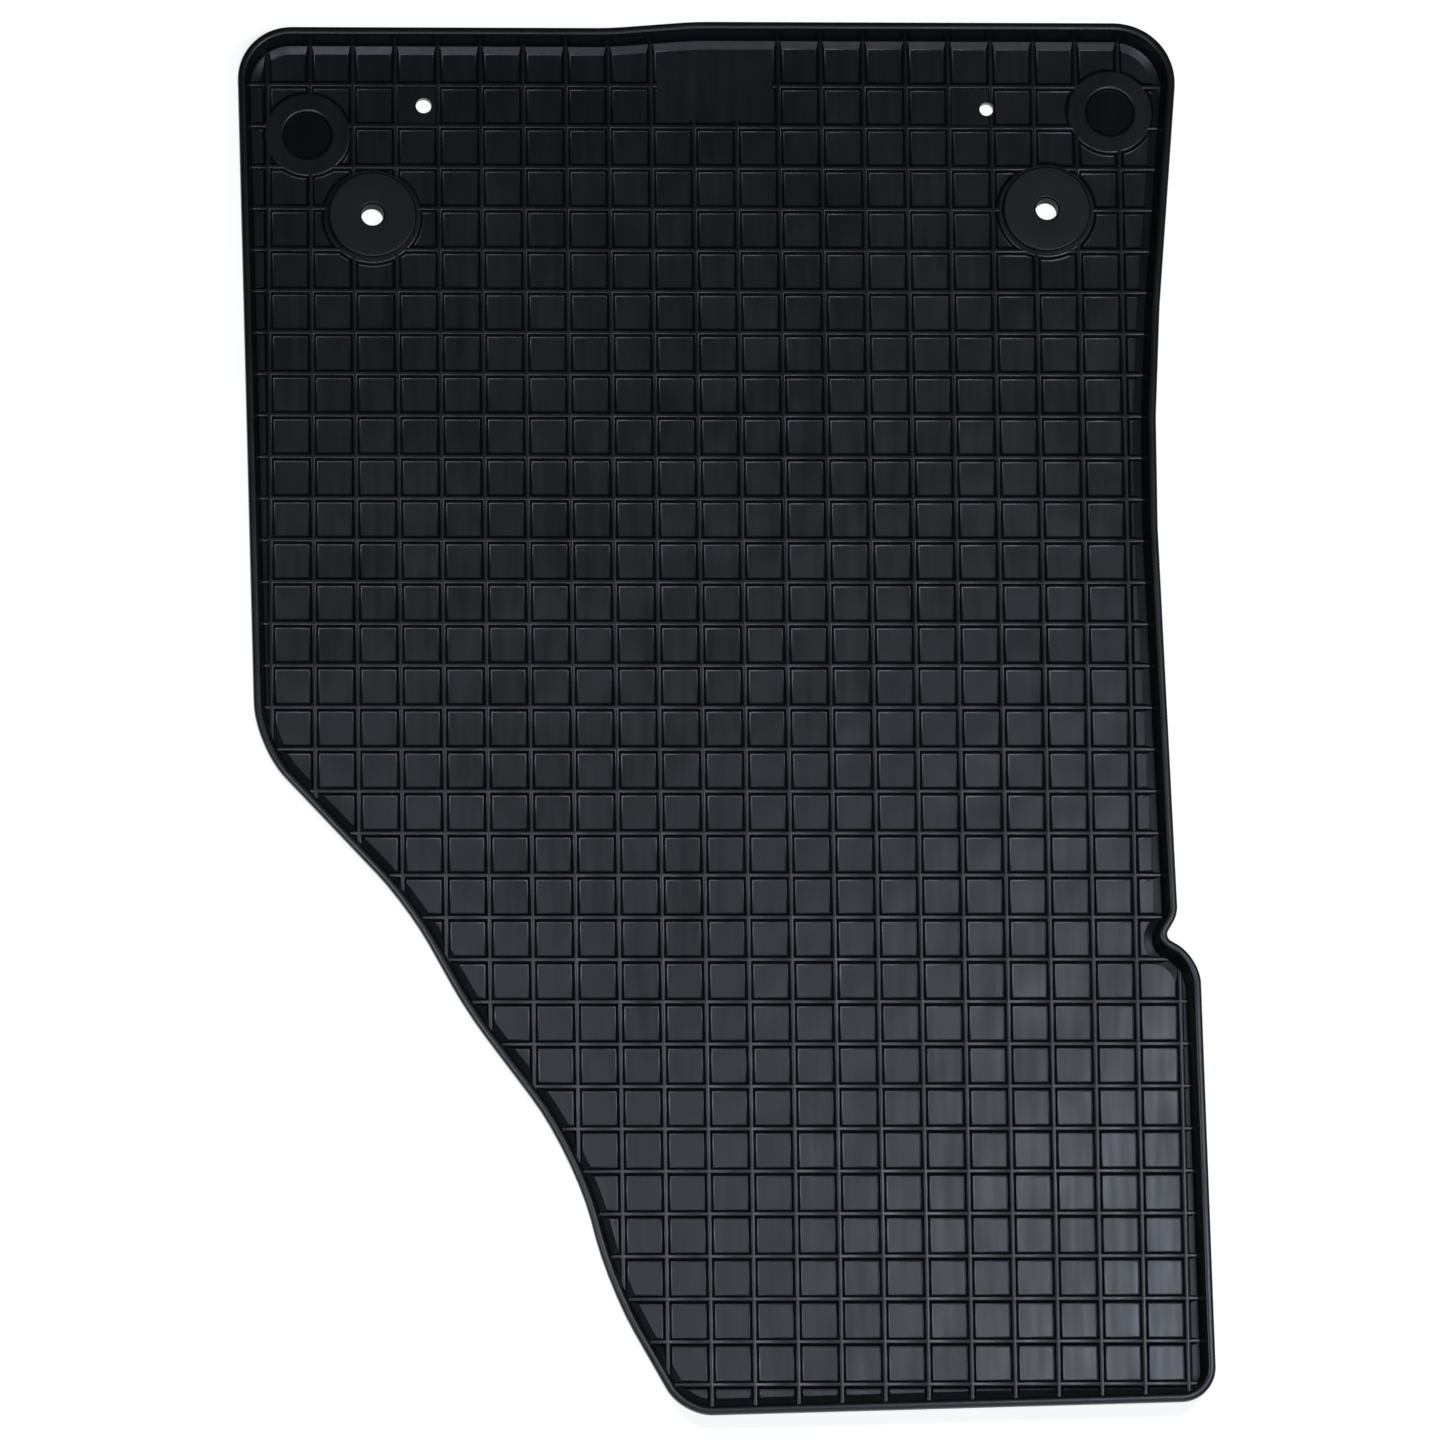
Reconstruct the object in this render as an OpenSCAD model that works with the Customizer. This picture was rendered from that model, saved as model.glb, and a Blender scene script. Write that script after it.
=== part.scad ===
// Moulded rubber footwell mat: a shallow tray with a square rib grid, and two
// round press-fit clips that hold it to the studs of the vehicle floor.
// X runs across the mat, +Y points to the heel edge, +Z is up.
// The origin is on the ground, under the middle of the mat.

/* [Overall] */
// Length of the mat, from heel edge to toe edge
mat_l = 731; // [600:1:900]
// Width of the mat at the heel end
mat_w = 491; // [400:1:600]
// Width of the toe end
toe_w = 271; // [200:1:330]

/* [Outline] */
// Length of the straight side above the cutaway
straight_l = 384; // [300:1:460]
// Inward slant of the straight side over its length
straight_slant = 7; // [0:0.5:15]
// Step in the heel edge
heel_step = 3.5; // [0:0.5:10]
// Slant of the toe edge over its width
toe_slant = 7; // [0:0.5:15]
// Depth of the waist in the long side
waist_depth = 22; // [5:1:40]
// Distance of the waist from the heel edge
waist_at = 210; // [150:5:260]
// Distance of the notch from the toe edge
notch_at = 247; // [200:1:280]
// Depth of the notch in the long side
notch_depth = 7; // [4:0.5:10]
// Inner radius of the heel corner on the cutaway side
heel_corner_in = 17; // [5:1:40]
// Inner radius of the heel corner on the long side
long_corner_in = 21; // [5:1:40]
// Inner radius of the corner where the cutaway starts
cut_corner_in = 49; // [20:1:70]
// Inner radius of the toe corner on the cutaway side
toe_corner_in = 15; // [5:1:30]
// Inner radius of the toe corner on the long side
toe_long_corner_in = 7; // [3:1:30]

/* [Sheet] */
// Thickness of the rubber sheet
sheet_t = 3; // [2:0.5:6]
// Height of the studs under the sheet
stud_h = 3; // [1.5:0.5:5]
// Diameter of the studs
stud_d = 8; // [4:0.5:12]

/* [Ribs] */
// Distance from one rib to the next
rib_pitch = 22; // [16:0.5:30]
// Mean width of a rib
rib_w = 3; // [1.5:0.5:5]
// Height of the ribs above the sheet
rib_h = 2; // [1:0.5:4]
// Distance of the first rib from the cutaway side
first_column = 16; // [14:0.5:24]
// Distance of the first rib from the heel edge
first_row = 31; // [24:0.5:44]

/* [Rim] */
// Height of the rim above the sheet
rim_h = 15; // [10:0.5:25]
// Distance from the outer edge to the foot of the inner wall
rim_run = 11; // [9:0.5:16]
// Width of the rounded lip
lip_w = 4; // [3:0.5:6]
// Thickness of the sloping wall
wall_t = 3; // [2:0.5:4]
// Height of the flatter slope at the foot of the wall
foot_h = 2.4; // [1:0.2:4]

/* [Clips] */
// Diameter of a clip cap
cap_d = 45; // [36:1:56]
// Thickness of a clip cap
cap_t = 4; // [3:0.5:6]
// Diameter of the bore through a clip
bore_d = 11.5; // [8:0.5:14]
// Diameter of the spigot under a cap
spigot_d = 18; // [17:0.5:22]
// Diameter of a clip socket
socket_d = 40; // [32:1:50]
// Gap between a spigot and its socket
clip_gap = 0.1; // [0.05:0.05:0.3]
// Gap between a spigot and the hole in the mat
mat_gap = 0.5; // [0.2:0.1:1]

/* [Bosses] */
// Width of the seat that shows round a clip cap
seat_margin = 2; // [1:0.5:4]
// Diameter of a blind ring boss
ring_boss_d = 43; // [36:1:50]
// Diameter of the recess in a blind ring boss
ring_recess_d = 24; // [16:1:30]
// Diameter of the small hole on the cutaway side
left_hole_d = 8; // [4:0.5:10]
// Diameter of the small hole on the long side
right_hole_d = 7; // [4:0.5:10]
// Height of the pads round the small holes
pad_h = 1.2; // [0.4:0.2:1.6]
// Width of the plain panel at the heel edge, in cells
panel_cells = 3; // [1:1:5]

/* [Hidden] */
$fn = 96;

half_w = mat_w / 2;
half_l = mat_l / 2;
sheet_z = stud_h;
floor_z = sheet_z + sheet_t;
rib_z = floor_z + rib_h;
rim_z = floor_z + rim_h;
overlap = 1;

// Places given as the distance from the nearer side and from the heel edge
function from_left(side, heel) = [-half_w + side, half_l - heel];
function from_right(side, heel) = [half_w - side, half_l - heel];
left_clip = from_left(69.5, 101.5);
right_clip = from_right(73.5, 97.5);
left_ring = from_left(36.5, 58);
right_ring = from_right(39.5, 44.5);
left_hole = from_left(96.5, 42);
right_hole = from_right(103.5, 43);

// The first rib each way, and the plain panel counted in ribs
column_x = -half_w + first_column;
row_y = half_l - first_row;
panel_column = 9;
panel_rows = 1;

// Largest turn between two points of a rounded corner, in degrees
arc_step = 12;

// The step in the heel edge: where it starts and ends across the mat, and its round transitions
step_from = -53;
step_to = -9;
step_r = 150;

// The long side: how far its heel corner and the foot of the notch stand in, and its waist
long_side_in = 3.5;
waist_r = 1000;

// The notch: how far its lip stands in, its run to each side of its root, and its radii
notch_in = 14.5;
notch_rise = 12;
notch_fall = 10.5;
notch_lip_in = 3;
notch_root_r = 4;
notch_foot_in = 13;

// Corners of the cutaway as shares of its own run and drop, each with its radius
cut_shape = [[0.83, 0.81, 200], [0.75, 0.61, 180], [0.50, 0.40, 220], [0.36, 0.24, 180]];

cut_start = [-half_w + straight_slant, half_l - straight_l];
cut_end = [half_w - toe_w, -half_l];
cut_box = cut_end - cut_start;
notch_side = half_w - notch_in;
notch_y = -half_l + notch_at;

// Corners of the outer edge, clockwise: x, y, radius
corners = concat(
    [
        [-half_w, half_l - heel_step, heel_corner_in + rim_run],
        [step_from, half_l - heel_step, step_r],
        [step_to, half_l, step_r],
        [half_w - long_side_in, half_l, long_corner_in + rim_run],
        [half_w - waist_depth, half_l - waist_at, waist_r],
        [notch_side, notch_y + notch_rise, notch_lip_in + rim_run],
        [notch_side - notch_depth, notch_y, notch_root_r],
        [half_w - long_side_in, notch_y - notch_fall, notch_foot_in + rim_run],
        [half_w, -half_l + toe_slant, toe_long_corner_in + rim_run],
        [cut_end.x, cut_end.y, toe_corner_in + rim_run]
    ],
    [for (c = cut_shape) [cut_start.x + c[0] * cut_box.x, cut_start.y + c[1] * cut_box.y, c[2]]],
    [[cut_start.x, cut_start.y, cut_corner_in + rim_run]]
);

function unit(v) = v / norm(v);
function right_of(v) = [v.y, -v.x];
function turned(v, a) = [v.x * cos(a) - v.y * sin(a), v.x * sin(a) + v.y * cos(a)];

// One rounded corner as pairs of a point and the normal that points into the mat
function arc(before, corner, after) =
    let (
        p = [corner.x, corner.y],
        r = corner[2],
        u = unit(p - [before.x, before.y]),
        w = unit([after.x, after.y] - p),
        turn = acos(min(1, u * w)),
        side = -sign(cross(u, w)),
        start = p - u * r * tan(turn / 2),
        middle = start + side * r * right_of(u),
        steps = 1 + ceil(turn / arc_step)
    )
    [
        for (i = [0:steps])
            let (n = right_of(turned(u, -side * turn * i / steps)))
            [middle - side * r * n, n]
    ];

drawn_edge = [
    for (i = [0:len(corners) - 1])
        each arc(
            corners[(i + len(corners) - 1) % len(corners)],
            corners[i],
            corners[(i + 1) % len(corners)]
        )
];

// Slid so that the middle of its box is on the origin
function middle_of(values) = (min(values) + max(values)) / 2;
slide = [middle_of([for (e = drawn_edge) e[0].x]), middle_of([for (e = drawn_edge) e[0].y])];
edge = [for (e = drawn_edge) [e[0] - slide, e[1]]];

// The outer edge moved into the mat by d
function inset(d) = [for (e = edge) e[0] + d * e[1]];

function inside(p, loop) =
    len([
        for (i = [0:len(loop) - 1])
            let (a = loop[i], b = loop[(i + 1) % len(loop)])
            if ((a.y > p.y) != (b.y > p.y) && p.x < (b.x - a.x) * (p.y - a.y) / (b.y - a.y) + a.x) i
    ]) % 2 == 1;

function clear_of(p, places, gap) = min([for (q = places) norm(p - q)]) > gap;

// The lip's rounding, the width of the slope at the foot of the wall, and its hollow middle
lip_round = 1.4;
lip_side = 2.4;
slope_w = 4;
slope_mid = 2.2;

// Section of the rim: distance in from the outer edge, height above the ground
rim_section = [
    [rim_run, sheet_z],
    [rim_run - slope_w - 0.5, sheet_z],
    [rim_run - slope_w - wall_t, floor_z],
    [0, rim_z - lip_side],
    [0.3, rim_z - 1],
    [lip_round, rim_z],
    [lip_w - lip_round, rim_z],
    [lip_w, rim_z - lip_round],
    [rim_run - slope_w, floor_z + foot_h],
    [rim_run - slope_mid, floor_z + foot_h / 3],
    [rim_run, floor_z]
];

// The ribs run this far into the slope, and end inside the wall
rib_reach = slope_w + 0.8;

module rim() {
    points = len(edge);
    ring = len(rim_section);
    polyhedron(
        points = [for (e = edge, s = rim_section) [each (e[0] + s.x * e[1]), s.y]],
        faces = [
            for (i = [0:points - 1], k = [0:ring - 1])
                let (i2 = (i + 1) % points, k2 = (k + 1) % ring)
                [i * ring + k, i2 * ring + k, i2 * ring + k2, i * ring + k2]
        ]
    );
}

module sheet() {
    translate([0, 0, sheet_z])
        linear_extrude(sheet_t) polygon(inset(rim_run));
}

module strips() {
    for (x = [column_x:rib_pitch:half_w])
        translate([x - rib_w / 2, -half_l]) square([rib_w, mat_l]);
    for (y = [row_y:-rib_pitch:-half_l])
        translate([-half_w, y - rib_w / 2]) square([mat_w, rib_w]);
}

module panel() {
    translate([column_x + panel_column * rib_pitch + rib_w / 2, row_y - panel_rows * rib_pitch + rib_w / 2])
        square([panel_cells * rib_pitch - rib_w, half_l]);
}

// Everything that stands on the sheet at the height of the ribs
module relief() {
    translate([0, 0, floor_z - overlap])
        linear_extrude(rib_h + overlap)
            difference() {
                union() {
                    intersection() {
                        polygon(inset(rim_run - rib_reach));
                        strips();
                    }
                    for (p = [left_clip, right_clip]) translate(p) circle(d = cap_d + 2 * seat_margin);
                    for (p = [left_ring, right_ring]) translate(p) circle(d = ring_boss_d);
                }
                panel();
            }
}

// A raised cell round a small hole
module pad(hole) {
    column = floor((hole.x - column_x) / rib_pitch);
    row = floor((row_y - hole.y) / rib_pitch);
    translate([column_x + column * rib_pitch, row_y - (row + 1) * rib_pitch, floor_z - overlap])
        cube([rib_pitch, rib_pitch, pad_h + overlap]);
}

// Studs stand under every second crossing of the ribs, clear of the clips and the small holes
stud_gap = 2;

module studs() {
    reach = inset(rim_run + stud_d / 2);
    for (x = [column_x:2 * rib_pitch:half_w], y = [row_y:-2 * rib_pitch:-half_l])
        if (
            inside([x, y], reach)
            && clear_of([x, y], [left_clip, right_clip], (socket_d + stud_d) / 2 + stud_gap)
            && clear_of([x, y], [left_hole, right_hole], stud_d / 2 + max(left_hole_d, right_hole_d))
        )
            translate([x, y]) cylinder(d = stud_d, h = stud_h + overlap);
}

module mat() {
    color("#1d1e22")
        difference() {
            union() {
                sheet();
                rim();
                relief();
                pad(left_hole);
                pad(right_hole);
                studs();
            }
            for (p = [left_clip, right_clip])
                translate(p) cylinder(d = spigot_d + 2 * mat_gap, h = rim_z);
            for (p = [left_ring, right_ring])
                translate([p.x, p.y, floor_z]) cylinder(d = ring_recess_d, h = rim_h);
            translate(left_hole) cylinder(d = left_hole_d, h = rim_z);
            translate(right_hole) cylinder(d = right_hole_d, h = rim_z);
        }
}

// The snap bead at the foot of a spigot: height of its middle, its reach and half its height
bead_z = stud_h / 2;
bead_out = 0.6;
bead_half = 0.6;

// Broken edges of a cap: its lower and upper rim, and the mouth of its bore
cap_foot = 0.6;
cap_round = 1;
bore_mouth = 0.8;

// Cap, spigot and bead, turned about the clip's own axis
module clip_cap(place) {
    spigot_r = spigot_d / 2;
    top = rib_z + cap_t;
    translate([place.x, place.y, 0])
        rotate_extrude()
            polygon([
                [bore_d / 2, 0],
                [spigot_r, 0],
                [spigot_r, bead_z - bead_half],
                [spigot_r + bead_out, bead_z],
                [spigot_r, bead_z + bead_half],
                [spigot_r, rib_z],
                [cap_d / 2 - cap_foot, rib_z],
                [cap_d / 2, rib_z + cap_foot],
                [cap_d / 2, top - cap_round],
                [cap_d / 2 - 0.3 * cap_round, top - 0.3 * cap_round],
                [cap_d / 2 - cap_round, top],
                [bore_d / 2 + bore_mouth, top],
                [bore_d / 2, top - bore_mouth]
            ]);
}

// Flat ring under the mat, with a groove that takes the bead
module clip_socket(place) {
    hole_r = spigot_d / 2 + clip_gap;
    translate([place.x, place.y, 0])
        rotate_extrude()
            polygon([
                [hole_r, 0],
                [socket_d / 2 - cap_foot, 0],
                [socket_d / 2, cap_foot],
                [socket_d / 2, stud_h],
                [hole_r, stud_h],
                [hole_r, bead_z + bead_half],
                [hole_r + bead_out, bead_z],
                [hole_r, bead_z - bead_half]
            ]);
}

module left_clip_cap() { color("#2b2c2f") clip_cap(left_clip); }
module left_clip_socket() { color("#2b2c2f") clip_socket(left_clip); }
module right_clip_cap() { color("#2b2c2f") clip_cap(right_clip); }
module right_clip_socket() { color("#2b2c2f") clip_socket(right_clip); }

mat();
left_clip_cap();
left_clip_socket();
right_clip_cap();
right_clip_socket();
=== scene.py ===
import math

import bpy
from mathutils import Matrix, Vector


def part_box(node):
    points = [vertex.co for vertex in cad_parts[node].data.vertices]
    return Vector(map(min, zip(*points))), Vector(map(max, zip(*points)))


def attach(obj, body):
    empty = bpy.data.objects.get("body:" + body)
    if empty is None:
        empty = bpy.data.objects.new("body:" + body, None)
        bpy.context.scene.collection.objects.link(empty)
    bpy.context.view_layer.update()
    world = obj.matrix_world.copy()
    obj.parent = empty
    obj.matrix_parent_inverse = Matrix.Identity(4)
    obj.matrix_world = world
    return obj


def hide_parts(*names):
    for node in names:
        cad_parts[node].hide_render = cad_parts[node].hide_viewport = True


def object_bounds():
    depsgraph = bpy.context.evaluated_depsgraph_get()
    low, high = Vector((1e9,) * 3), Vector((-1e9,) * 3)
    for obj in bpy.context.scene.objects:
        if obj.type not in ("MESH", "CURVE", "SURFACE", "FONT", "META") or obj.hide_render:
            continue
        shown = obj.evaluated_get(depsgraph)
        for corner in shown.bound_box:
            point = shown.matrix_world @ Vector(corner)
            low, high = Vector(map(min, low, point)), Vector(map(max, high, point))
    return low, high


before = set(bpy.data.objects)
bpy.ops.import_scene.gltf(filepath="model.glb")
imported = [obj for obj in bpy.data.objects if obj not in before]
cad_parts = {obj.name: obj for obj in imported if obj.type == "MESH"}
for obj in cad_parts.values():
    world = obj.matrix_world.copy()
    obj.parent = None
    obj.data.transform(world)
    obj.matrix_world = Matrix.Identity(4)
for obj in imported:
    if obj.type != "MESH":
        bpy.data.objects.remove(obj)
cad_box = [list(corner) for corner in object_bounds()]
bpy.ops.object.select_all(action="DESELECT")

# ---------------------------------------------------------------------------------------------
# The camera looks down on the mat from high up, on a long lens, and from a little to the left and
# the toe end. It is aimed near the middle of the mat, at the height of the rib tops, and rolled.
MM = 0.001
CAMERA_DISTANCE = 7.2
CAMERA_LENS = 351.2
camera_turn, camera_rise, camera_roll = (math.radians(angle) for angle in (-15.0, 76.1, 14.6))

low, high = (Vector(corner) for corner in cad_box)
aim = Vector(((low.x + high.x) / 2 + 0.7 * MM, (low.y + high.y) / 2 - 3.7 * MM, 8 * MM))
towards_camera = Vector((
    math.sin(camera_turn) * math.cos(camera_rise),
    -math.cos(camera_turn) * math.cos(camera_rise),
    math.sin(camera_rise),
))
bpy.ops.object.camera_add(location=aim + CAMERA_DISTANCE * towards_camera)
camera = bpy.context.object
camera.name = "camera"
upright = (-towards_camera).to_track_quat("-Z", "Y").to_matrix()
camera.rotation_euler = (upright @ Matrix.Rotation(camera_roll, 3, "Z")).to_euler()
camera.data.lens = CAMERA_LENS
camera.data.clip_end = 40
bpy.context.scene.camera = camera

# ---------------------------------------------------------------------------------------------
# The tray is the body of the mat: a thin rubber sheet with a rim that leans outwards and ends in
# a thick lip. It starts as a flat plate cut to the mat's outline, as thick as the lip's side.
# Both faces of the plate are then inset in steps, up over the lip and down to the sheet.
LIP_SIDE_Z = (18.2, 18.9)
SHEET_Z = (3.0, 6.0)
# How far in from the outer edge the flat sheet starts
RIM_RUN = 11.0
# Corners of the outer edge, clockwise from the heel end: x, y and radius
OUTLINE = (
    (-245.5, 362.0, 28), (-53.0, 362.0, 150), (-9.0, 365.5, 150), (242.0, 365.5, 32),
    (223.5, 155.5, 1000), (231.0, -106.5, 14), (224.0, -118.5, 4), (242.0, -129.0, 24),
    (245.5, -358.5, 18), (-25.5, -365.5, 26), (-61.7, -299.6, 200), (-78.8, -230.2, 180),
    (-132.0, -157.3, 220), (-161.8, -101.8, 180), (-238.5, -18.5, 60),
)
# Sections as pairs of the distance in from the outer edge and the height
OVER_THE_LIP = (
    (0, LIP_SIDE_Z[1]), (0.05, 19.6), (0.15, 20.1), (0.28, 20.42), (0.45, 20.66), (0.8, 20.81),
    (1.2, 20.91), (1.6, 20.97), (2.1, 21.0), (2.6, 20.97), (3.0, 20.91), (3.4, 20.81),
    (3.75, 20.66), (4.0, 20.42), (4.2, 20.05), (4.35, 19.5), (4.45, 19.0), (6.55, 8.2),
    (6.7, 7.85), (7.0, 7.58), (8.8, 6.88), (10.4, 6.26), (10.7, 6.12), (RIM_RUN, SHEET_Z[1]),
)
UNDER_THE_LIP = (
    (0, LIP_SIDE_Z[0]), (0.6, 16.4), (3.6, 6.3), (4.2, 4.9), (5.1, 3.7), (6.5, SHEET_Z[0]),
)
# A rounded corner has one edge for about this many degrees of its turn
CORNER_STEP = 3
# A face looks up or down when its normal's z is past this
UPRIGHT = 0.9


def pick(piece, kind, test=lambda item: True):
    """Opens a piece in edit mode with the vertices or polygons that pass a test selected."""
    bpy.ops.object.select_all(action="DESELECT")
    bpy.context.view_layer.objects.active = piece
    piece.select_set(True)
    for items in (piece.data.vertices, piece.data.edges, piece.data.polygons):
        for item in items:
            item.select = False
    for item in getattr(piece.data, kind):
        item.select = test(item)
    bpy.context.tool_settings.mesh_select_mode = (kind == "vertices", False, kind == "polygons")
    bpy.ops.object.mode_set(mode="EDIT")


def close(piece):
    """Leaves edit mode with the faces turned outwards."""
    bpy.ops.mesh.select_all(action="SELECT")
    bpy.ops.mesh.normals_make_consistent(inside=False)
    bpy.ops.object.mode_set(mode="OBJECT")
    piece.select_set(False)


def step_in(section, away=1):
    """Insets the selected face along a section. It looks up if away is 1, and down if it is -1."""
    for (d0, z0), (d1, z1) in zip(section, section[1:]):
        bpy.ops.mesh.inset(
            thickness=(d1 - d0) * MM, depth=away * (z1 - z0) * MM, use_even_offset=True,
        )


def bearing(start, end):
    """The direction from one corner to the next."""
    return math.atan2(end[1] - start[1], end[0] - start[0])


bpy.ops.mesh.primitive_circle_add(vertices=len(OUTLINE), radius=0.3, fill_type="NGON")
tray = bpy.context.object
tray.name = "mat_moulding"
for vertex, (x, y, radius) in zip(tray.data.vertices, OUTLINE):
    vertex.co = (x * MM, y * MM, LIP_SIDE_Z[0] * MM)
for number, (x, y, radius) in enumerate(OUTLINE):
    before, after = OUTLINE[number - 1], OUTLINE[(number + 1) % len(OUTLINE)]
    turn = abs(math.remainder(bearing((x, y), after) - bearing(before, (x, y)), math.tau))
    pick(tray, "vertices", lambda v: abs(v.co.x - x * MM) + abs(v.co.y - y * MM) < 1e-6)
    bpy.ops.mesh.bevel(
        offset_type="OFFSET", offset=radius * math.tan(turn / 2) * MM, affect="VERTICES",
        segments=max(2, round(math.degrees(turn) / CORNER_STEP)), profile=0.5,
    )
    bpy.ops.object.mode_set(mode="OBJECT")

# The outline is drawn from the corner points, and then slid to where the frame has the mat
mat_low, mat_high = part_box("mat")
xs, ys = ([v.co[axis] for v in tray.data.vertices] for axis in (0, 1))
slide = Vector((
    (mat_low.x + mat_high.x - min(xs) - max(xs)) / 2,
    (mat_low.y + mat_high.y - min(ys) - max(ys)) / 2,
    0,
))
pick(tray, "vertices")
bpy.ops.transform.translate(value=slide)
bpy.ops.object.mode_set(mode="OBJECT")


def outline_block(inset, bottom, top):
    """A solid block of the outline, inset all round, from one height to another."""
    pick(tray, "vertices", lambda v: False)
    bpy.ops.object.mode_set(mode="OBJECT")
    bpy.ops.object.duplicate()
    block = bpy.context.object
    pick(block, "polygons")
    bpy.ops.mesh.inset(thickness=inset * MM, use_even_offset=True)
    bpy.ops.mesh.select_all(action="INVERT")
    bpy.ops.mesh.delete(type="FACE")
    bpy.ops.mesh.select_all(action="SELECT")
    bpy.ops.transform.translate(value=(0, 0, (bottom - LIP_SIDE_Z[0]) * MM))
    bpy.ops.mesh.extrude_region_move(TRANSFORM_OT_translate={"value": (0, 0, (top - bottom) * MM)})
    close(block)
    return block


# Two blocks are made now for later on: the ribs are trimmed to one, and the studs keep inside the
# other, which is their radius short of the flat sheet's edge
STUD_R = 4.0
RIB_FIELD_INSET, STUD_FIELD_INSET = 5.4, RIM_RUN + STUD_R
ABOVE_RIBS_Z = 12.0
STUD_FIELD_Z = (0.5, 1.0)
rib_field = outline_block(RIB_FIELD_INSET, 4.5, ABOVE_RIBS_Z)
stud_field = outline_block(STUD_FIELD_INSET, *STUD_FIELD_Z)

pick(tray, "polygons")
bpy.ops.mesh.extrude_region_move(
    TRANSFORM_OT_translate={"value": (0, 0, (LIP_SIDE_Z[1] - LIP_SIDE_Z[0]) * MM)}
)
close(tray)
pick(tray, "polygons", lambda p: p.normal.z > UPRIGHT)
step_in(OVER_THE_LIP)
bpy.ops.object.mode_set(mode="OBJECT")
pick(tray, "polygons", lambda p: p.normal.z < -UPRIGHT and len(p.vertices) > 20)
step_in(UNDER_THE_LIP, -1)
close(tray)

# ---------------------------------------------------------------------------------------------
# The ribs are moulded with the sheet: a square grid, 2 mm high, each rib with a rounded top and a
# soft foot. Rows run across the mat and columns along it, and both run a little way up the rim.
PITCH = 22.0
FIRST_COLUMN, COLUMNS = -229.5, 22
FIRST_ROW, ROWS = 334.5, 32
# What stands on the sheet is rooted a little way inside it
ROOT_Z = 5.0
RIB_TOP_Z = 8.0
RIB_FOOT = 6.2
COLUMN_SECTION = (
    (0, 5.985), (0.35, 6.02), (0.65, 6.07), (0.9, 6.14), (1.05, 6.24), (1.15, 6.4), (1.8, 7.55),
    (1.95, 7.72), (2.15, 7.84), (2.4, 7.92), (2.65, 7.97), (2.9, RIB_TOP_Z),
)
ROW_SECTION = (
    (0, 5.985), (0.35, 6.02), (0.65, 6.07), (0.9, 6.14), (1.05, 6.24), (1.15, 6.4), (1.95, 7.6),
    (2.1, 7.76), (2.3, 7.88), (2.55, 7.95), (2.85, RIB_TOP_Z - 0.005),
)


def combine(piece, other, operation):
    """Joins another solid to a piece or cuts it out of it, and uses the other solid up."""
    bpy.ops.object.select_all(action="DESELECT")
    bpy.context.view_layer.objects.active = piece
    piece.select_set(True)
    bpy.ops.object.modifier_add(type="BOOLEAN")
    modifier = piece.modifiers[-1]
    modifier.operation = operation
    modifier.solver = "MANIFOLD"
    modifier.object = other
    bpy.ops.object.modifier_apply(modifier=modifier.name)
    bpy.data.objects.remove(other)


def block(x0, x1, y0, y1, z0, z1):
    """A box between two corners."""
    bpy.ops.object.select_all(action="DESELECT")
    bpy.ops.mesh.primitive_cube_add(size=MM)
    box = bpy.context.object
    for vertex in box.data.vertices:
        corner = [ends[side > 0] for ends, side in zip(((x0, x1), (y0, y1), (z0, z1)), vertex.co)]
        vertex.co = Vector(corner) * MM
    return box


def ribs(x0, x1, y0, y1, section, step, count):
    """A run of like ribs: the first one's foot is given, and the rest follow at one pitch."""
    rib = block(x0, x1, y0, y1, ROOT_Z, section[0][1])
    pick(rib, "polygons", lambda p: p.normal.z > UPRIGHT)
    step_in(section)
    close(rib)
    rib.select_set(True)
    bpy.ops.object.modifier_add(type="ARRAY")
    array = rib.modifiers[-1]
    array.count = count
    array.use_relative_offset = False
    array.use_constant_offset = True
    array.constant_offset_displace = Vector(step) * MM
    bpy.ops.object.modifier_apply(modifier=array.name)
    return rib


half = RIB_FOOT / 2
# Half the mat's width and length, with some over to trim off
OVER_WIDTH, OVER_LENGTH = 255, 375
grid = ribs(
    FIRST_COLUMN - half, FIRST_COLUMN + half, -OVER_LENGTH, OVER_LENGTH,
    COLUMN_SECTION, (PITCH, 0, 0), COLUMNS,
)
rows = ribs(
    -OVER_WIDTH, OVER_WIDTH, FIRST_ROW - half, FIRST_ROW + half,
    ROW_SECTION, (0, -PITCH, 0), ROWS,
)
combine(grid, rows, "UNION")
combine(grid, rib_field, "INTERSECT")

# A plain panel, three cells wide and one and a bit long, is left at the middle of the heel end
PANEL_COLUMN, PANEL_CELLS = 9, 3
panel_x = FIRST_COLUMN + PANEL_COLUMN * PITCH
panel = block(
    panel_x + half, panel_x + PANEL_CELLS * PITCH - half,
    FIRST_ROW - PITCH + half, OVER_LENGTH + 5, 4.0, ABOVE_RIBS_Z,
)
combine(grid, panel, "DIFFERENCE")
combine(tray, grid, "UNION")

# ---------------------------------------------------------------------------------------------
# Round bosses stand level with the ribs, on the same soft foot. Two are seats for the clips, with a
# hole for the spigot, and two by the heel corners are blind rings. The cells round the two small
# holes are raised.
LEFT_CLIP, RIGHT_CLIP = (-176.0, 264.0), (172.0, 268.0)
LEFT_RING, RIGHT_RING = (-209.0, 307.5), (206.0, 321.0)
LEFT_HOLE, RIGHT_HOLE = (-149.0, 323.5), (142.0, 322.5)
SEAT_FOOT_R, RING_FOOT_R = 27.0, 24.0
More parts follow.
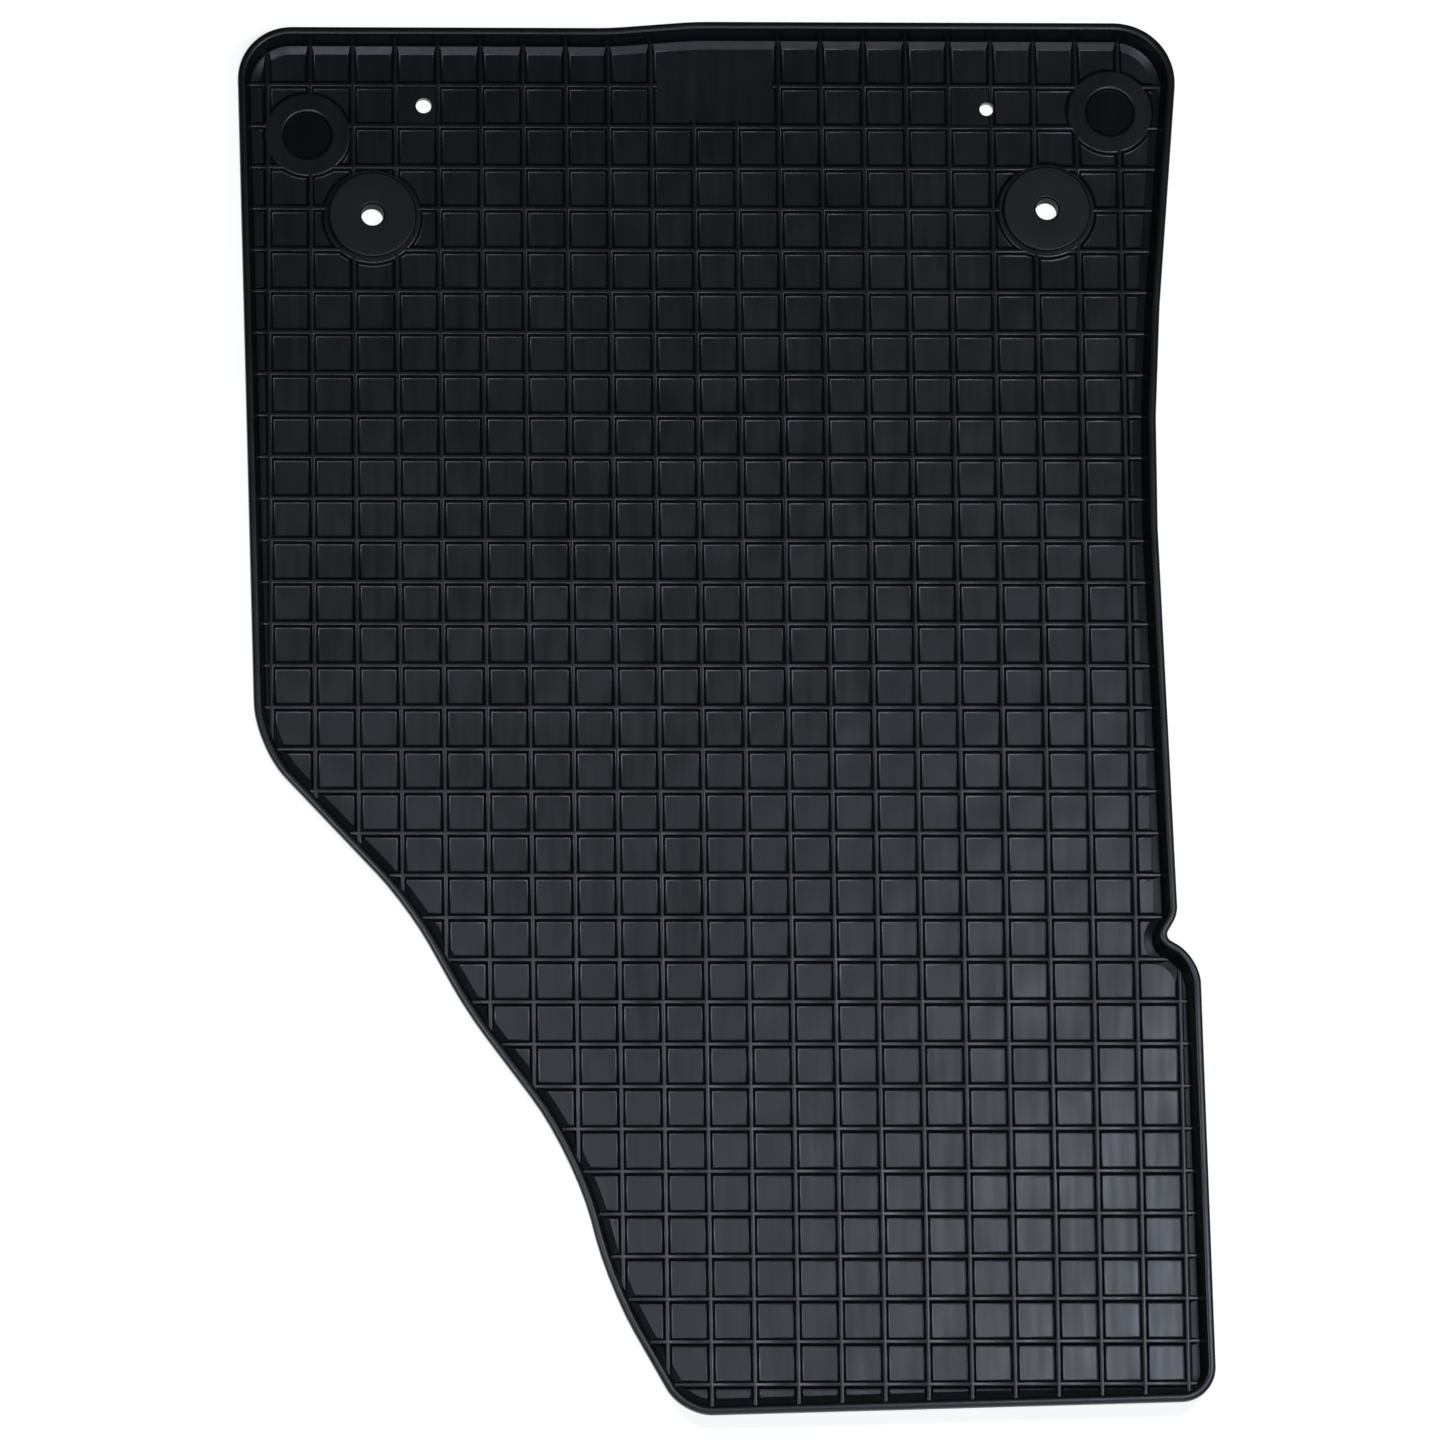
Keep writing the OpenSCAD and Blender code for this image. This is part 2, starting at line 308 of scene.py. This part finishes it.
# A ring's recess is 24 mm across, and its rounded edge spreads to this radius at the top
RECESS_R = 13.8
RECESS_SECTION = (
    (0, RIB_TOP_Z + 0.02), (0.4, 7.95), (0.85, 7.8), (1.25, 7.58), (1.5, 7.3), (1.65, 6.9),
    (1.75, 6.3), (1.9, 6.08), (2.3, SHEET_Z[1]),
)
PAD_SECTION = ((0, 7.0), (0.3, 7.15), (0.7, 7.2))
SPIGOT_HOLE_R = 9.5
LEFT_HOLE_R, RIGHT_HOLE_R = 4.0, 3.5
BELOW_MAT_Z = -1.0
HOLE_MOUTH = 0.35
HOLE_SECTION = ((0, 7.25), (0.3, 6.9), (HOLE_MOUTH, BELOW_MAT_Z))


def turned(place, radius, start_z, section, away=1, points=96):
    """A round solid: a disc drawn out to a section's first height, then stepped in along it."""
    bpy.ops.object.select_all(action="DESELECT")
    bpy.ops.mesh.primitive_circle_add(
        vertices=points, radius=radius * MM, fill_type="NGON",
        location=(place[0] * MM, place[1] * MM, start_z * MM),
    )
    solid = bpy.context.object
    bpy.ops.object.transform_apply()
    pick(solid, "polygons")
    bpy.ops.mesh.extrude_region_move(
        TRANSFORM_OT_translate={"value": (0, 0, (section[0][1] - start_z) * MM)}
    )
    close(solid)
    pick(solid, "polygons", lambda p: p.normal.z * away > UPRIGHT)
    step_in(section, away)
    close(solid)
    return solid


def raised_cell(hole):
    """The pad of one cell of the grid, round a small hole."""
    column = math.floor((hole[0] - FIRST_COLUMN) / PITCH)
    row = math.floor((FIRST_ROW - hole[1]) / PITCH)
    x, y = FIRST_COLUMN + column * PITCH, FIRST_ROW - (row + 1) * PITCH
    pad = block(x, x + PITCH, y, y + PITCH, ROOT_Z, PAD_SECTION[0][1])
    pick(pad, "polygons", lambda p: p.normal.z > UPRIGHT)
    step_in(PAD_SECTION)
    close(pad)
    return pad


for place in (LEFT_CLIP, RIGHT_CLIP):
    combine(tray, turned(place, SEAT_FOOT_R, ROOT_Z, COLUMN_SECTION, points=128), "UNION")
    spigot_hole = turned(place, SPIGOT_HOLE_R, ABOVE_RIBS_Z, ((0, BELOW_MAT_Z),), -1)
    combine(tray, spigot_hole, "DIFFERENCE")
for place in (LEFT_RING, RIGHT_RING):
    combine(tray, turned(place, RING_FOOT_R, ROOT_Z, COLUMN_SECTION, points=128), "UNION")
    combine(tray, turned(place, RECESS_R, ABOVE_RIBS_Z, RECESS_SECTION, -1), "DIFFERENCE")
for place, radius in ((LEFT_HOLE, LEFT_HOLE_R), (RIGHT_HOLE, RIGHT_HOLE_R)):
    combine(tray, raised_cell(place), "UNION")
    hole = turned(place, radius + HOLE_MOUTH, ABOVE_RIBS_Z, HOLE_SECTION, -1, points=48)
    combine(tray, hole, "DIFFERENCE")

# ---------------------------------------------------------------------------------------------
# Short round studs under every second crossing of the ribs keep the sheet off the carpet. One is
# drawn, copied to each place that is clear of the rim, the clips and the small holes, and joined.
STUD_ROOT_Z = 4.0
STUD_SECTION = ((0, 2.6), (0.15, 0.5), (0.35, 0.15), (0.8, 0.0))
# Places that the studs keep away from, and how far
CLEAR_OF = ((LEFT_CLIP, 26), (RIGHT_CLIP, 26), (LEFT_HOLE, 12), (RIGHT_HOLE, 12))

stud = turned((0, 0), STUD_R, STUD_ROOT_Z, STUD_SECTION, -1, points=24)
places = [
    Vector((FIRST_COLUMN + 2 * column * PITCH, FIRST_ROW - 2 * row * PITCH, 0)) * MM
    for row in range(ROWS // 2) for column in range(COLUMNS // 2)
]
studs = []
for place in places:
    on_sheet = stud_field.ray_cast(place - Vector((0, 0, MM)), (0, 0, 1))[0]
    is_clear = all(
        (place - Vector((*spot, 0)) * MM).length > gap * MM for spot, gap in CLEAR_OF
    )
    if on_sheet and is_clear:
        bpy.ops.object.select_all(action="DESELECT")
        stud.select_set(True)
        bpy.context.view_layer.objects.active = stud
        bpy.ops.object.duplicate()
        bpy.ops.transform.translate(value=place)
        studs.append(bpy.context.object)
bpy.data.objects.remove(stud)
bpy.data.objects.remove(stud_field)
bpy.ops.object.select_all(action="DESELECT")
for stud in studs:
    stud.select_set(True)
bpy.ops.object.join()
bpy.ops.object.transform_apply()
combine(tray, bpy.context.object, "UNION")


def soften(piece, angle):
    """Smooth shading up to an angle, with the large flat faces kept flat."""
    bpy.ops.object.select_all(action="DESELECT")
    bpy.context.view_layer.objects.active = piece
    piece.select_set(True)
    bpy.ops.object.shade_smooth_by_angle(angle=math.radians(angle))
    bpy.ops.object.modifier_add(type="WEIGHTED_NORMAL")
    piece.modifiers[-1].keep_sharp = True
    bpy.ops.object.modifier_apply(modifier=piece.modifiers[-1].name)


SMOOTH_RUBBER, SMOOTH_PLASTIC = 30, 35
soften(tray, SMOOTH_RUBBER)

# The moulding is black rubber, a mix of new and ground rubber, straight from a bead-blasted mould.
# That gives a satin black with a faint blue tint, clouds and long faint streaks in its sheen, and a
# slight waviness. A blasted grain is typically about 0.2 mm across, which is too fine to show, so
# it is drawn coarser, at 0.7 mm.


def linear(hex_colour):
    """An sRGB hex colour as linear red, green, blue and alpha."""
    parts = [int(hex_colour[i:i + 2], 16) / 255 for i in (0, 2, 4)]
    return [c / 12.92 if c <= 0.04045 else ((c + 0.055) / 1.055) ** 2.4 for c in parts] + [1.0]


def across(size):
    """The noise scale that gives marks about this many millimetres across."""
    return 1 / (size * MM)


def add(tree, kind, inputs=None, **settings):
    """Adds a node with its settings; an input is a value or another node's output."""
    node = tree.nodes.new("ShaderNode" + kind)
    for name, value in settings.items():
        setattr(node, name, value)
    for name, value in (inputs or {}).items():
        if isinstance(value, bpy.types.NodeSocket):
            tree.links.new(value, node.inputs[name])
        else:
            node.inputs[name].default_value = value
    return node


rubber = bpy.data.materials.new("black_moulded_rubber")
rubber.use_nodes = True
tree = rubber.node_tree
tree.nodes.clear()
place = add(tree, "TexCoord").outputs["Object"]
clouds = add(tree, "TexNoise", {
    "Vector": place, "Scale": across(71.43), "Detail": 3.0, "Roughness": 0.55,
})
grain = add(tree, "TexNoise", {"Vector": place, "Scale": across(0.7143), "Detail": 2.0})
# Streaks and ripples are ten times as long as they are wide
drawn_out = add(tree, "Mapping", {"Vector": place, "Scale": (1.0, 0.1, 1.0)}).outputs["Vector"]
streaks = add(tree, "TexNoise", {"Vector": drawn_out, "Scale": across(5.882), "Detail": 2.0})
marks = add(tree, "Math", {0: clouds.outputs["Fac"], 1: streaks.outputs["Fac"]}, operation="ADD")
sheen = add(tree, "MapRange", {
    "Value": marks.outputs["Value"],
    "From Min": 0.7, "From Max": 1.3, "To Min": 0.29, "To Max": 0.39,
})
tone = add(tree, "MixRGB", {
    "Fac": clouds.outputs["Fac"], "Color1": linear("0e0e10"), "Color2": linear("141518"),
})
wave = add(tree, "TexNoise", {"Vector": place, "Scale": across(38.46), "Detail": 1.0})
waves = add(tree, "Bump", {"Height": wave.outputs["Fac"], "Strength": 1.0, "Distance": 0.6 * MM})
ripple = add(tree, "TexNoise", {"Vector": drawn_out, "Scale": across(9.091), "Detail": 1.0})
ripples = add(tree, "Bump", {
    "Height": ripple.outputs["Fac"], "Strength": 1.0, "Distance": 0.09 * MM,
    "Normal": waves.outputs["Normal"],
})
bump = add(tree, "Bump", {
    "Height": grain.outputs["Fac"], "Strength": 1.0, "Distance": 0.02 * MM,
    "Normal": ripples.outputs["Normal"],
})
surface = add(tree, "BsdfPrincipled", {
    "Base Color": tone.outputs["Color"], "Roughness": sheen.outputs["Result"],
    "IOR": 1.5, "Normal": bump.outputs["Normal"],
})
add(tree, "OutputMaterial", {"Surface": surface.outputs["BSDF"]})


def shaded_copy(material, name, level):
    """A copy of a material with its highlights turned down, to paint shade on the faces that wear
    it.
    """
    copy = material.copy()
    copy.name = name
    for node in copy.node_tree.nodes:
        if node.type == "BSDF_PRINCIPLED":
            node.inputs["Specular IOR Level"].default_value = level
    return copy


# The floors of the two ring recesses get a copy of the rubber with its highlights turned down. This
# is painted shade that makes them look dark.
recess_shade_rubber = shaded_copy(rubber, "painted_shade_moulded_rubber", 0.15)
SHADED_FLOOR_R = 12.3
SHADED_FLOOR_Z = (5.5, 6.8)
tray.data.materials.clear()
tray.data.materials.append(rubber)
tray.data.materials.append(recess_shade_rubber)
# Faces of the recess floors take the second material, the painted shade
for polygon in tray.data.polygons:
    x, y, z = polygon.center / MM
    in_a_ring = any(math.dist((x, y), ring) < SHADED_FLOOR_R for ring in (LEFT_RING, RIGHT_RING))
    if in_a_ring and SHADED_FLOOR_Z[0] < z < SHADED_FLOOR_Z[1]:
        polygon.material_index = 1
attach(tray, "root")
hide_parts("mat")

# ---------------------------------------------------------------------------------------------
# Each clip is two round plastic pieces: a flat cap with a hollow spigot that goes down through the
# mat, and a flat socket ring below it that the spigot's bead is pressed into.
# Sections as pairs of the distance from the axis and the height
CAP_SECTION = (
    (5.75, 0.4), (6.1, 0.0), (8.7, 0.0), (9.0, 0.4), (9.0, 0.95), (9.6, 1.5), (9.0, 2.05),
    (9.0, 8.0), (21.8, 8.0), (22.3, 8.15), (22.5, 8.6), (22.5, 11.2), (22.38, 11.6),
    (22.05, 11.88), (21.5, 12.0), (14.0, 11.92), (6.9, 11.9), (6.3, 11.7), (5.9, 11.3),
    (5.75, 10.7),
)
SOCKET_SECTION = (
    (9.1, 0.0), (19.4, 0.0), (19.85, 0.15), (20.0, 0.6), (20.0, 2.6), (19.8, 3.0), (9.1, 3.0),
    (9.1, 2.1), (9.7, 1.5), (9.1, 0.9),
)


def spun(name, place, section):
    """A ring-shaped piece: its section is drawn beside its axis and spun round it."""
    bpy.ops.object.select_all(action="DESELECT")
    bpy.ops.mesh.primitive_circle_add(vertices=len(section), radius=MM, fill_type="NOTHING")
    piece = bpy.context.object
    piece.name = name
    for vertex, (radius, z) in zip(piece.data.vertices, section):
        vertex.co = (radius * MM, 0, z * MM)
    pick(piece, "vertices")
    bpy.ops.mesh.spin(steps=96, angle=math.tau, center=(0, 0, 0), axis=(0, 0, 1))
    bpy.ops.mesh.select_all(action="SELECT")
    bpy.ops.mesh.remove_doubles(threshold=1e-6)
    bpy.ops.transform.translate(value=(place[0] * MM, place[1] * MM, 0))
    close(piece)
    soften(piece, SMOOTH_PLASTIC)
    return piece


# The clips are injection-moulded polypropylene from a lightly etched mould, which gives an even
# matt black. An etched grain is typically about 0.1 mm across, so it is drawn coarser, at 0.45 mm.
plastic = bpy.data.materials.new("matt_moulded_polypropylene")
plastic.use_nodes = True
tree = plastic.node_tree
tree.nodes.clear()
place = add(tree, "TexCoord").outputs["Object"]
clouds = add(tree, "TexNoise", {"Vector": place, "Scale": across(25.0), "Detail": 2.0})
grain = add(tree, "TexNoise", {"Vector": place, "Scale": across(0.4545), "Detail": 1.0})
sheen = add(tree, "MapRange", {
    "Value": clouds.outputs["Fac"], "From Min": 0.3, "From Max": 0.7, "To Min": 0.4, "To Max": 0.46,
})
bump = add(tree, "Bump", {"Height": grain.outputs["Fac"], "Strength": 1.0, "Distance": 0.01 * MM})
surface = add(tree, "BsdfPrincipled", {
    "Base Color": linear("0d0e10"), "Roughness": sheen.outputs["Result"], "IOR": 1.49,
    "Normal": bump.outputs["Normal"],
})
add(tree, "OutputMaterial", {"Surface": surface.outputs["BSDF"]})

# The bore's wall gets a copy of the plastic with its highlights turned down almost to nothing. This
# is painted shade that makes the inside of the hole look dark.
painted_bore_shade = shaded_copy(plastic, "painted_shade_bore_polypropylene", 0.02)
# Faces nearer the axis than this are the bore's
BORE_R = 6.4

for side, centre in (("left", LEFT_CLIP), ("right", RIGHT_CLIP)):
    for part, section in (("cap", CAP_SECTION), ("socket", SOCKET_SECTION)):
        piece = spun(f"{side}_clip_{part}_piece", centre, section)
        piece.data.materials.append(plastic)
        piece.data.materials.append(painted_bore_shade)
        for polygon in piece.data.polygons:
            from_axis = Vector(polygon.center[:2]) / MM - Vector(centre)
            # Faces of the bore take the second material, the painted shade
            polygon.material_index = int(from_axis.length < BORE_R)
        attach(piece, "root")
        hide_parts(f"{side}_clip_{part}")

# ---------------------------------------------------------------------------------------------
# The mat lies on a plain floor of white paper, which glows a little so that it stays pale. Three
# softboxes light it: one on the right, a weaker one on the left, and a wide one past the toe end.
bpy.ops.object.select_all(action="DESELECT")
bpy.ops.mesh.primitive_plane_add(size=12)
floor = bpy.context.object
floor.name = "floor"
paper = bpy.data.materials.new("white_studio_paper")
paper.use_nodes = True
shader = paper.node_tree.nodes["Principled BSDF"]
shader.inputs["Base Color"].default_value = linear("f4f4f4")
shader.inputs["Roughness"].default_value = 0.9
shader.inputs["Specular IOR Level"].default_value = 0.2
shader.inputs["Emission Color"].default_value = linear("ffffff")
shader.inputs["Emission Strength"].default_value = 0.8
floor.data.materials.append(paper)

LIGHTS = (
    # name, place in metres, width and height, watts
    ("right_softbox", (0.5, 0.02, 1.6), (0.3, 0.3), 6.5),
    ("left_softbox", (-0.31, -0.06, 1.0), (0.2, 0.2), 2.0),
    ("toe_softbox", (0.1, -1.0, 1.5), (1.2, 0.6), 4.0),
)
for name, spot, (wide, tall), watts in LIGHTS:
    bpy.ops.object.light_add(type="AREA", location=spot)
    lamp = bpy.context.object
    lamp.name = name
    lamp.rotation_euler = Vector(spot).to_track_quat("Z", "Y").to_euler()
    lamp.data.shape = "RECTANGLE"
    lamp.data.size, lamp.data.size_y = wide, tall
    lamp.data.energy = watts
    lamp.data.color = linear("e6eeff")[:3]

world = bpy.data.worlds.new("studio")
world.use_nodes = True
world.node_tree.nodes["Background"].inputs["Color"].default_value = linear("ffffff")
world.node_tree.nodes["Background"].inputs["Strength"].default_value = 0.045
bpy.context.scene.world = world
bpy.context.scene.view_settings.view_transform = "Standard"
